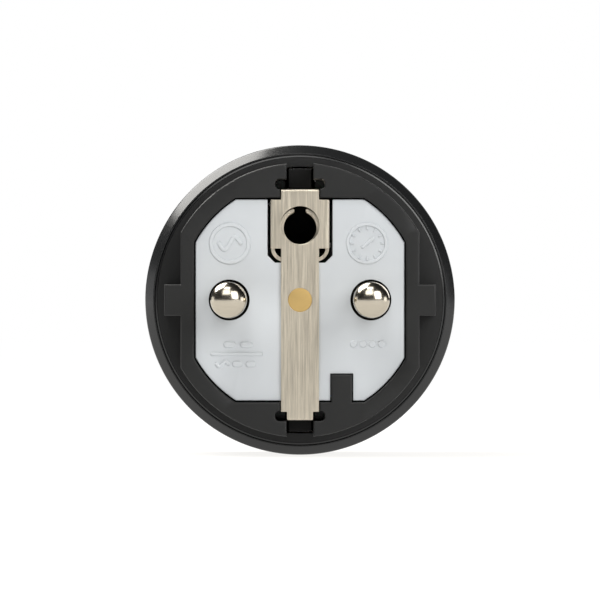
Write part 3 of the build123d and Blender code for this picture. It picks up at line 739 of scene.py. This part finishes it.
class PLUG_OT_markings(bpy.types.Operator):
    """Raise plain symbols on the insert: a wave in a ring, a dial, a line among dashes and dots"""

    bl_idname = "plug.markings"
    bl_label = "Raised symbols"
    bl_options = {"REGISTER"}

    def execute(self, context):
        behind_strap = 0.57 * MM
        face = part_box("earth_strap")[0].y + behind_strap
        height, slope = 0.2 * MM, 0.08 * MM
        common = (height, slope, face)
        ring_at, dial_at = (-9.4 * MM, 7.6 * MM), (9.0 * MM, 7.6 * MM)

        def wave(width, rise):
            x = np.linspace(-0.5, 0.5, 49)
            return np.stack((x * width, rise * np.sin(tau * x + pi)), axis=-1) * (MM, -MM)

        def line(width):
            return np.stack((np.linspace(-0.5, 0.5, 9) * width * MM, np.zeros(9)), axis=-1)

        shells = [
            hoop(2.3 * MM, 2.75 * MM, *common, ring_at),
            ridge(wave(2.9, 0.85), 0.225 * MM, *common, ring_at),
            hoop(2.4 * MM, 2.75 * MM, *common, dial_at),
            ridge(line(6.6), 0.2 * MM, *common, (-8.5 * MM, -7.25 * MM)),
            ridge(wave(1.6, 0.35), 0.175 * MM, *common, (-10.4 * MM, -8.6 * MM)),
        ]
        for x, z, width in ((-9.4, -6.0, 0.9), (-7.2, -6.0, 0.9), (-8.4, -8.6, 0.6), (-6.6, -8.6, 0.6)):
            shells.append(ridge(line(width), 0.35 * MM, *common, (x * MM, z * MM)))
        ticks = 12
        turn = np.arange(ticks) * tau / ticks
        for c, s in zip(np.cos(turn), np.sin(turn)):
            tick = np.linspace(1.9, 2.2, 5)[:, None] * np.array((c, s)) * MM
            shells.append(ridge(tick, 0.08 * MM, *common, dial_at))
        hand_turn = radians(40)
        aim = np.array((np.cos(hand_turn), np.sin(hand_turn)))
        hand = np.linspace(-0.8, 1.0, 9)[:, None] * aim * MM
        shells.append(ridge(hand, 0.15 * MM, height, 0.1 * MM, face, dial_at))
        foot = face + 0.03 * MM
        dot = [(0.55 * MM, foot), (0.4 * MM, face - height), (0, face - height)]
        dot = np.vstack(([(0, foot)], rounded(dot, (0, 0.08 * MM, 0))))
        for i in range(4):
            shells.append(lathe(dot, ((7.2 + 1.25 * i) * MM, 0, -5.9 * MM), segments=32))
        fitted(object_from("raised_symbols", shells, 50), "pale_insert")
        return {"FINISHED"}


class PLUG_OT_pins(bpy.types.Operator):
    """Turn the two pins, each with a domed tip, a neck, a collar and a riveted end"""

    bl_idname = "plug.pins"
    bl_label = "Pins"
    bl_options = {"REGISTER"}

    def execute(self, context):
        dome = context.scene.plug_sizes.pin_dome
        for node, name in (("line_pin", "left_pin"), ("neutral_pin", "right_pin")):
            low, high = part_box(node)
            centre = middle(node)
            t = np.linspace(0, pi / 2, 28)
            tip = np.stack((PIN_R * np.sin(t), low.y + dome * (1 - np.cos(t))), axis=-1)
            neck, collar, tail = 2.05 * MM, 3.5 * MM, 1.8 * MM
            neck_y, collar_y, tail_y = 0.35 * MM, 4.05 * MM, 5.0 * MM
            stem = rounded(
                [(PIN_R, low.y + 2 * dome), (PIN_R, 0), (neck, neck_y), (neck, collar_y),
                 (collar, collar_y), (collar, tail_y), (tail, tail_y), (tail, high.y), (0, high.y)],
                (0, 0.12 * MM, 0.2 * MM, 0, 0.15 * MM, 0.15 * MM, 0, 0.4 * MM, 0),
            )
            pin = object_from(name, [lathe(np.vstack((tip, stem)), (centre.x, 0, 0), segments=128)])
            fitted(pin, "nickel_pin", [node])
        return {"FINISHED"}


class PLUG_OT_earth_face(bpy.types.Operator):
    """Finish the earth strap, the folded box, the rolled tube and the rivet on the plug's face"""

    bl_idname = "plug.earth_face"
    bl_label = "Earth strap"
    bl_options = {"REGISTER"}

    def execute(self, context):
        edge = context.scene.plug_sizes.sheet_edge
        for node, name in (
            ("earth_strap", "earth_strap_sheet"),
            ("earth_pin_box", "earth_box_sheet"),
            ("upper_earth_clip", "upper_clip_sheet"),
            ("lower_earth_clip", "lower_clip_sheet"),
        ):
            fitted(cad_copy(name, node, edge), "nickel_sheet", [node])
        fitted(object_from("earth_tube_sheet", [rolled_tube()], 30), "nickel_sheet", ["earth_pin_tube"])
        low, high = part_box("earth_rivet")
        head, shank, lip = high.x, 1.45 * MM, 0.6 * MM
        profile = rounded(
            [(0, low.y), (head, low.y), (head, lip), (shank, lip), (shank, high.y), (0, high.y)],
            (0, 0.06 * MM, 0.04 * MM, 0, 0.1 * MM, 0),
        )
        rivet = object_from("earth_rivet_turned", [lathe(profile, segments=96)])
        fitted(rivet, "brass", ["earth_rivet"], finish="rivet")
        return {"FINISHED"}


# ---- the inside -------------------------------------------------------------------------


def wound(node, axis, wire):
    """A winding: a plain core with its outer layer drawn as one helix of wire.

    The core is a ring that ends three quarters of a wire inside the node's outer radius, and
    the layer's middle line is half a wire inside it."""
    low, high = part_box(node)
    centre = (low + high) / 2
    along = "xyz".index(axis)
    ends = (low[along], high[along])
    across = (along + 1) % 3
    outer = (high[across] - low[across]) / 2
    inner, core_r = outer * 0.55, outer - wire * 0.75
    centre[along] = 0
    core = [(inner, ends[0]), (core_r, ends[0]), (core_r, ends[1]), (inner, ends[1])]
    turns = (ends[1] - ends[0] - wire) / wire
    path = helix(outer - wire / 2, (ends[0] + wire / 2, ends[1] - wire / 2), turns, centre, axis)
    return [lathe(core, centre, axis, 64, closed=True), tube(path, wire * 0.49, 7)]


class PLUG_OT_windings(bpy.types.Operator):
    """Wind the relay's coil and the choke from enamelled wire"""

    bl_idname = "plug.windings"
    bl_label = "Windings"
    bl_options = {"REGISTER"}

    def execute(self, context):
        sizes = context.scene.plug_sizes
        coil = wound("relay_coil", "x", sizes.coil_wire)
        fitted(object_from("relay_winding", coil, 40), "copper", ["relay_coil"])
        choke = wound("choke_winding", "y", sizes.choke_wire)
        fitted(object_from("choke_wire_turns", choke, 40), "copper", ["choke_winding"])
        return {"FINISHED"}


class PLUG_OT_spring(bpy.types.Operator):
    """Coil the spring that the shutter squeezes as it turns"""

    bl_idname = "plug.spring"
    bl_label = "Shutter spring"
    bl_options = {"REGISTER"}

    def execute(self, context):
        wire = context.scene.plug_sizes.spring_wire
        low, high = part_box("shutter_spring")
        centre = middle("shutter_spring")
        centre.z = 0
        radius = (high.x - low.x - wire) / 2
        ends = (low.z + wire / 2, high.z - wire / 2)
        turns, dead, per_turn = 9, 1.0, 28
        t = np.linspace(0, tau * turns, turns * per_turn + 1)
        span = ends[1] - ends[0]
        rise = np.interp(t / tau, (0, dead, turns - dead, turns), (0, wire, span - wire, span))
        path = np.stack((radius * np.cos(t), radius * np.sin(t), ends[0] + rise), axis=-1) + np.array(centre)
        spring = object_from("shutter_spring_coil", [tube(path, wire / 2, 10)], 40)
        fitted(spring, "steel", ["shutter_spring"])
        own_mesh(spring)
        return {"FINISHED"}


class PLUG_OT_capacitors(bpy.types.Operator):
    """Turn the capacitors' shrunk sleeves over their cans, and the fuse with its end caps"""

    bl_idname = "plug.capacitors"
    bl_label = "Capacitors and fuse"
    bl_options = {"REGISTER"}

    def execute(self, context):
        low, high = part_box("bulk_capacitors")
        can_r, foot = 2.5 * MM, high.y
        lip, crimp = 1.95 * MM, can_r - 0.25 * MM
        sleeve = rounded(
            [(lip, low.y + 0.12 * MM), (lip, low.y), (can_r, low.y), (can_r, foot - 2.05 * MM),
             (crimp, foot - 1.55 * MM), (can_r, foot - 1.05 * MM), (can_r, foot - 0.1 * MM),
             (lip, foot - 0.1 * MM), (lip, foot - 0.3 * MM)],
            (0, 0.03 * MM, 0.4 * MM, 0.3 * MM, 0.3 * MM, 0.3 * MM, 0.2 * MM, 0.05 * MM, 0), closed=True,
        )
        can = rounded(
            [(0, low.y + 0.1 * MM), (lip + 0.02 * MM, low.y + 0.1 * MM), (lip + 0.02 * MM, foot - 0.02 * MM),
             (0, foot - 0.02 * MM)], (0, 0.06 * MM, 0.1 * MM, 0), steps=4,
        )
        places = ((high.x - can_r, high.z - can_r), (low.x + can_r, low.z + can_r))
        sleeves = [lathe(sleeve, (x, 0, z), segments=72, closed=True) for x, z in places]
        cans = [lathe(can, (x, 0, z), segments=64) for x, z in places]
        fitted(object_from("capacitor_sleeves", sleeves), "can_sleeve", ["bulk_capacitors"])
        fitted(object_from("capacitor_cans", cans), "tin")

        low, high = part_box("fuse")
        place = middle("fuse")
        place.y = 0
        body_r, cap, end = 1.6 * MM, 1.9 * MM, high.y - 1.2 * MM
        barrel = rod(body_r - 0.06 * MM, (low.y + 0.1 * MM, end - 0.1 * MM), place, 0.1 * MM)
        leg = rod(0.35 * MM, (end - 0.05 * MM, high.y), place, 0.05 * MM, 20)
        caps = [rod(body_r, ends, place, 0.25 * MM, 64) for ends in ((low.y, low.y + cap), (end - cap, end))]
        fitted(object_from("fuse_barrel", [barrel]), "fuse_glass", ["fuse"])
        fitted(object_from("fuse_caps", [*caps, leg]), "tin")
        return {"FINISHED"}


WIRE_END = 0.22 * MM      # half the thickness of a header pin or a soldered wire's end

# Soldered joints on the power board, in millimetres across and up.
JOINTS = (
    (-7.6, -9.6), (5.5, -9.6), (7.6, -9.6), (-6.9, 9.4), (-6.9, 11.4), (-11.2, 6.0), (-11.2, 8.0),
    (6.2, 7.0), (11.6, 7.0), (5.8, 10.8), (9.8, 10.8), (-4.6, 5.2), (11.6, -4.4),
)

# Rows of small chips on the control board: the height of each and its spacing, in millimetres.
CHIP_ROWS = ((-3.0, 1.35), (-1.4, 1.35), (0.2, 1.35), (1.8, 1.35), (8.6, 1.5), (10.2, 1.5))


def solder(x, z, face):
    """A fillet of solder round a wire's end: radius = wire + (spread - wire) * (1 - h / rise) squared."""
    rise, spread = 0.6 * MM, 0.62 * MM
    tip = face + rise * 1.25
    h = np.linspace(0, 1, 8)
    side = np.stack((WIRE_END + (spread - WIRE_END) * (1 - h) ** 2, face + rise * h), axis=-1)
    profile = np.vstack(([(0, face)], side, [(WIRE_END * 0.8, tip), (0, tip)]))
    return lathe(profile, (x, 0, z), segments=20)


def gull_wing(x, side, z, face, height, reach):
    """A flat lead from a chip's flank: out, down and out again."""
    foot = face + 0.11 * MM
    corners = [(x, face + height, z - side * 0.1 * MM), (x, face + height, z + side * reach * 0.35),
               (x, foot, z + side * reach * 0.6), (x, foot, z + side * reach)]
    return tube(rounded(corners, (0, 0.1 * MM, 0.1 * MM, 0), steps=4), 0.14 * MM, 4)


class PLUG_OT_board_parts(bpy.types.Operator):
    """Set chips, leads, header pins and solder joints on the two boards"""

    bl_idname = "plug.board_parts"
    bl_label = "Board parts"
    bl_options = {"REGISTER"}

    def execute(self, context):
        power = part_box("power_board")[1].y
        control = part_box("control_board")[1].y
        bodies, ends, metals = [], [], []
        half_x, half_z = 0.5 * MM, 0.25 * MM
        body_x, body_y, end_y = half_x * 0.62, 0.34 * MM, 0.36 * MM
        for row, (z, gap) in enumerate(CHIP_ROWS):
            for i in range(5):
                x = (i - 2) * gap * 1.35 + 0.35 * (row % 2)
                at = np.array((x * MM, control, z * MM))
                bodies.append(bar(at - (body_x, 0, half_z), at + (body_x, body_y, half_z), 0.03 * MM))
                for side in (-1, 1):
                    near, far = sorted((side * half_x * 0.58, side * half_x))
                    ends.append(bar(at + (near, 0, -half_z), at + (far, end_y, half_z), 0.04 * MM))
        low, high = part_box("metering_chip")
        for i in range(8):
            x = low.x + 0.4 * MM + i * (high.x - low.x - 0.8 * MM) / 7
            for side, edge in ((-1, low.z), (1, high.z)):
                metals.append(gull_wing(x, side, edge, power, 0.7 * MM, 0.9 * MM))
        low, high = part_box("regulator_chip")
        for i in range(3):
            x = low.x + 0.5 * MM + i * (high.x - low.x - 1.0 * MM) / 2
            metals.append(gull_wing(x, 1, high.z, power, 0.6 * MM, 0.9 * MM))
        header = middle("board_header")
        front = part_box("power_board")[0].y
        for i in range(6):
            x = header.x + (i - 2.5) * 1.5 * MM
            at = np.array((x, 0, header.z))
            near = at + (-WIRE_END, front - 0.5 * MM, -WIRE_END)
            metals.append(bar(near, at + (WIRE_END, control + 0.4 * MM, WIRE_END), 0.06 * MM))
        metals += [solder(x * MM, z * MM, power) for x, z in JOINTS]
        fitted(object_from("chip_bodies", bodies), "black_component")
        fitted(object_from("chip_ends", ends), "tin")
        fitted(object_from("leads_and_joints", metals), "tin", finish="solder")
        return {"FINISHED"}


# ---- stage ------------------------------------------------------------------------------


def softbox(name, direction, distance, width, height, radiance, tint=(1, 1, 1)):
    """An area light that faces the middle of the plug: power = radiance * pi * area."""
    data = bpy.data.lights.new(name, "AREA")
    data.shape = "RECTANGLE"
    data.size, data.size_y = width, height
    data.energy = radiance * pi * width * height
    data.color = tint
    lamp = bpy.data.objects.new(name, data)
    bpy.context.scene.collection.objects.link(lamp)
    direction = Vector(direction).normalized()
    lamp.location = direction * distance
    lamp.rotation_euler = direction.to_track_quat("Z", "Y").to_euler()
    return lamp


class PLUG_OT_stage(bpy.types.Operator):
    """Set the pale floor, the softboxes, the white surround and the camera"""

    bl_idname = "plug.stage"
    bl_label = "Stage"
    bl_options = {"REGISTER"}

    def execute(self, context):
        scene = context.scene
        scene.view_settings.view_transform = "Standard"
        floor_z = CAD_BOX[0].z - FINE
        reach = 4.0
        grid = np.array([[(-reach, -reach, floor_z), (-reach, reach, floor_z)],
                         [(reach, -reach, floor_z), (reach, reach, floor_z)]])
        points, faces = skin(grid)
        mesh = bpy.data.meshes.new("floor")
        mesh.from_pydata(points.tolist(), [], faces[:, ::-1].tolist())
        floor = bpy.data.objects.new("floor", mesh)
        scene.collection.objects.link(floor)
        pale = Finish("floor_pale", Emission_Strength=1.0, Roughness=0.9)
        cloud = pale.noise(0.4, 1.0)
        near = pale.add("TexGradient", {"gradient_type": "SPHERICAL"}, Vector=pale.stretched(2.2, 2.2, 2.2))
        pale.set(
            Base_Color=pale.mix(cloud, (0.075, 0.074, 0.072), (0.082, 0.081, 0.079)),
            Emission_Color=pale.mix(near, (1.0, 1.0, 1.0), (0.87, 0.86, 0.84)),
        )
        mesh.materials.append(pale.material)

        world = bpy.data.worlds.new("surround")
        scene.world = world
        world.use_nodes = True
        tree = world.node_tree
        background = tree.nodes["Background"]
        path = tree.nodes.new("ShaderNodeLightPath")
        mix = tree.nodes.new("ShaderNodeMix")
        mix.data_type = "RGBA"
        mix.inputs[6].default_value = (0.012, 0.012, 0.013, 1.0)
        mix.inputs[7].default_value = (1.0, 1.0, 1.0, 1.0)
        tree.links.new(path.outputs["Is Camera Ray"], mix.inputs[0])
        tree.links.new(mix.outputs[2], background.inputs["Color"])

        softbox("rim_box", (-0.53, 0.20, 0.825), 0.55, 0.50, 0.40, 10.5, (1.0, 0.985, 0.95))
        softbox("top_box", (-0.16, -0.80, 0.58), 0.62, 0.34, 0.26, 2.9, (1.0, 0.995, 0.98))
        softbox("side_box", (0.47, -0.80, 0.37), 0.62, 0.32, 0.36, 5.2, (1.0, 0.995, 0.98))
        softbox("crown_box", (-0.10, -0.50, 0.86), 0.60, 0.22, 0.14, 7.0, (1.0, 0.99, 0.97))
        softbox("left_card", (-0.96, 0.12, 0.05), 0.60, 0.40, 0.18, 1.1)
        softbox("right_card", (0.95, -0.25, 0.08), 0.60, 0.26, 0.14, 2.2)
        softbox("rear_box", (0.45, 0.86, 0.42), 0.70, 0.60, 0.50, 2.2, (1.0, 1.0, 1.0))

        away = 1.488
        lens = bpy.data.cameras.new("camera")
        lens.lens = 666
        lens.clip_end = 100
        camera = bpy.data.objects.new("camera", lens)
        camera.location = (0, -away, 0)
        camera.rotation_euler = (pi / 2, 0, 0)
        scene.collection.objects.link(camera)
        scene.camera = camera
        return {"FINISHED"}


class PLUG_PT_pieces(bpy.types.Panel):
    """Lists what can be built"""

    bl_idname = "PLUG_PT_pieces"
    bl_label = "Plug adaptor"
    bl_space_type = "VIEW_3D"
    bl_region_type = "UI"
    bl_category = "Plug"

    def draw(self, context):
        for group in (context.scene.plug_sizes, context.scene.plug_colours):
            box = self.layout.box()
            for key in group.__annotations__:
                box.prop(group, key)
        for step in STEPS:
            self.layout.operator(step.bl_idname)


STEPS = (
    PLUG_OT_finishes,
    PLUG_OT_stage,
    PLUG_OT_sleeve,
    PLUG_OT_plug_body,
    PLUG_OT_markings,
    PLUG_OT_pins,
    PLUG_OT_earth_face,
    PLUG_OT_windings,
    PLUG_OT_spring,
    PLUG_OT_capacitors,
    PLUG_OT_board_parts,
)
CLASSES = (PlugSizes, PlugColours, *STEPS, PLUG_PT_pieces)


def register():
    for entry in CLASSES:
        bpy.utils.register_class(entry)
    bpy.types.Scene.plug_sizes = bpy.props.PointerProperty(type=PlugSizes)
    bpy.types.Scene.plug_colours = bpy.props.PointerProperty(type=PlugColours)


def unregister():
    del bpy.types.Scene.plug_colours
    del bpy.types.Scene.plug_sizes
    for entry in reversed(CLASSES):
        bpy.utils.unregister_class(entry)


def main():
    register()
    for step in STEPS:
        group, name = step.bl_idname.split(".")
        getattr(getattr(bpy.ops, group), name)()
    slots = {row["node"]: row["material_slot"] for row in frame["record"]["subparts"]}
    for node, piece in NODES.items():
        piece.data.materials.clear()
        piece.data.materials.append(FINISHES["screw" if node == "centre_screw" else slots[node]])


if __name__ == "__main__":
    main()
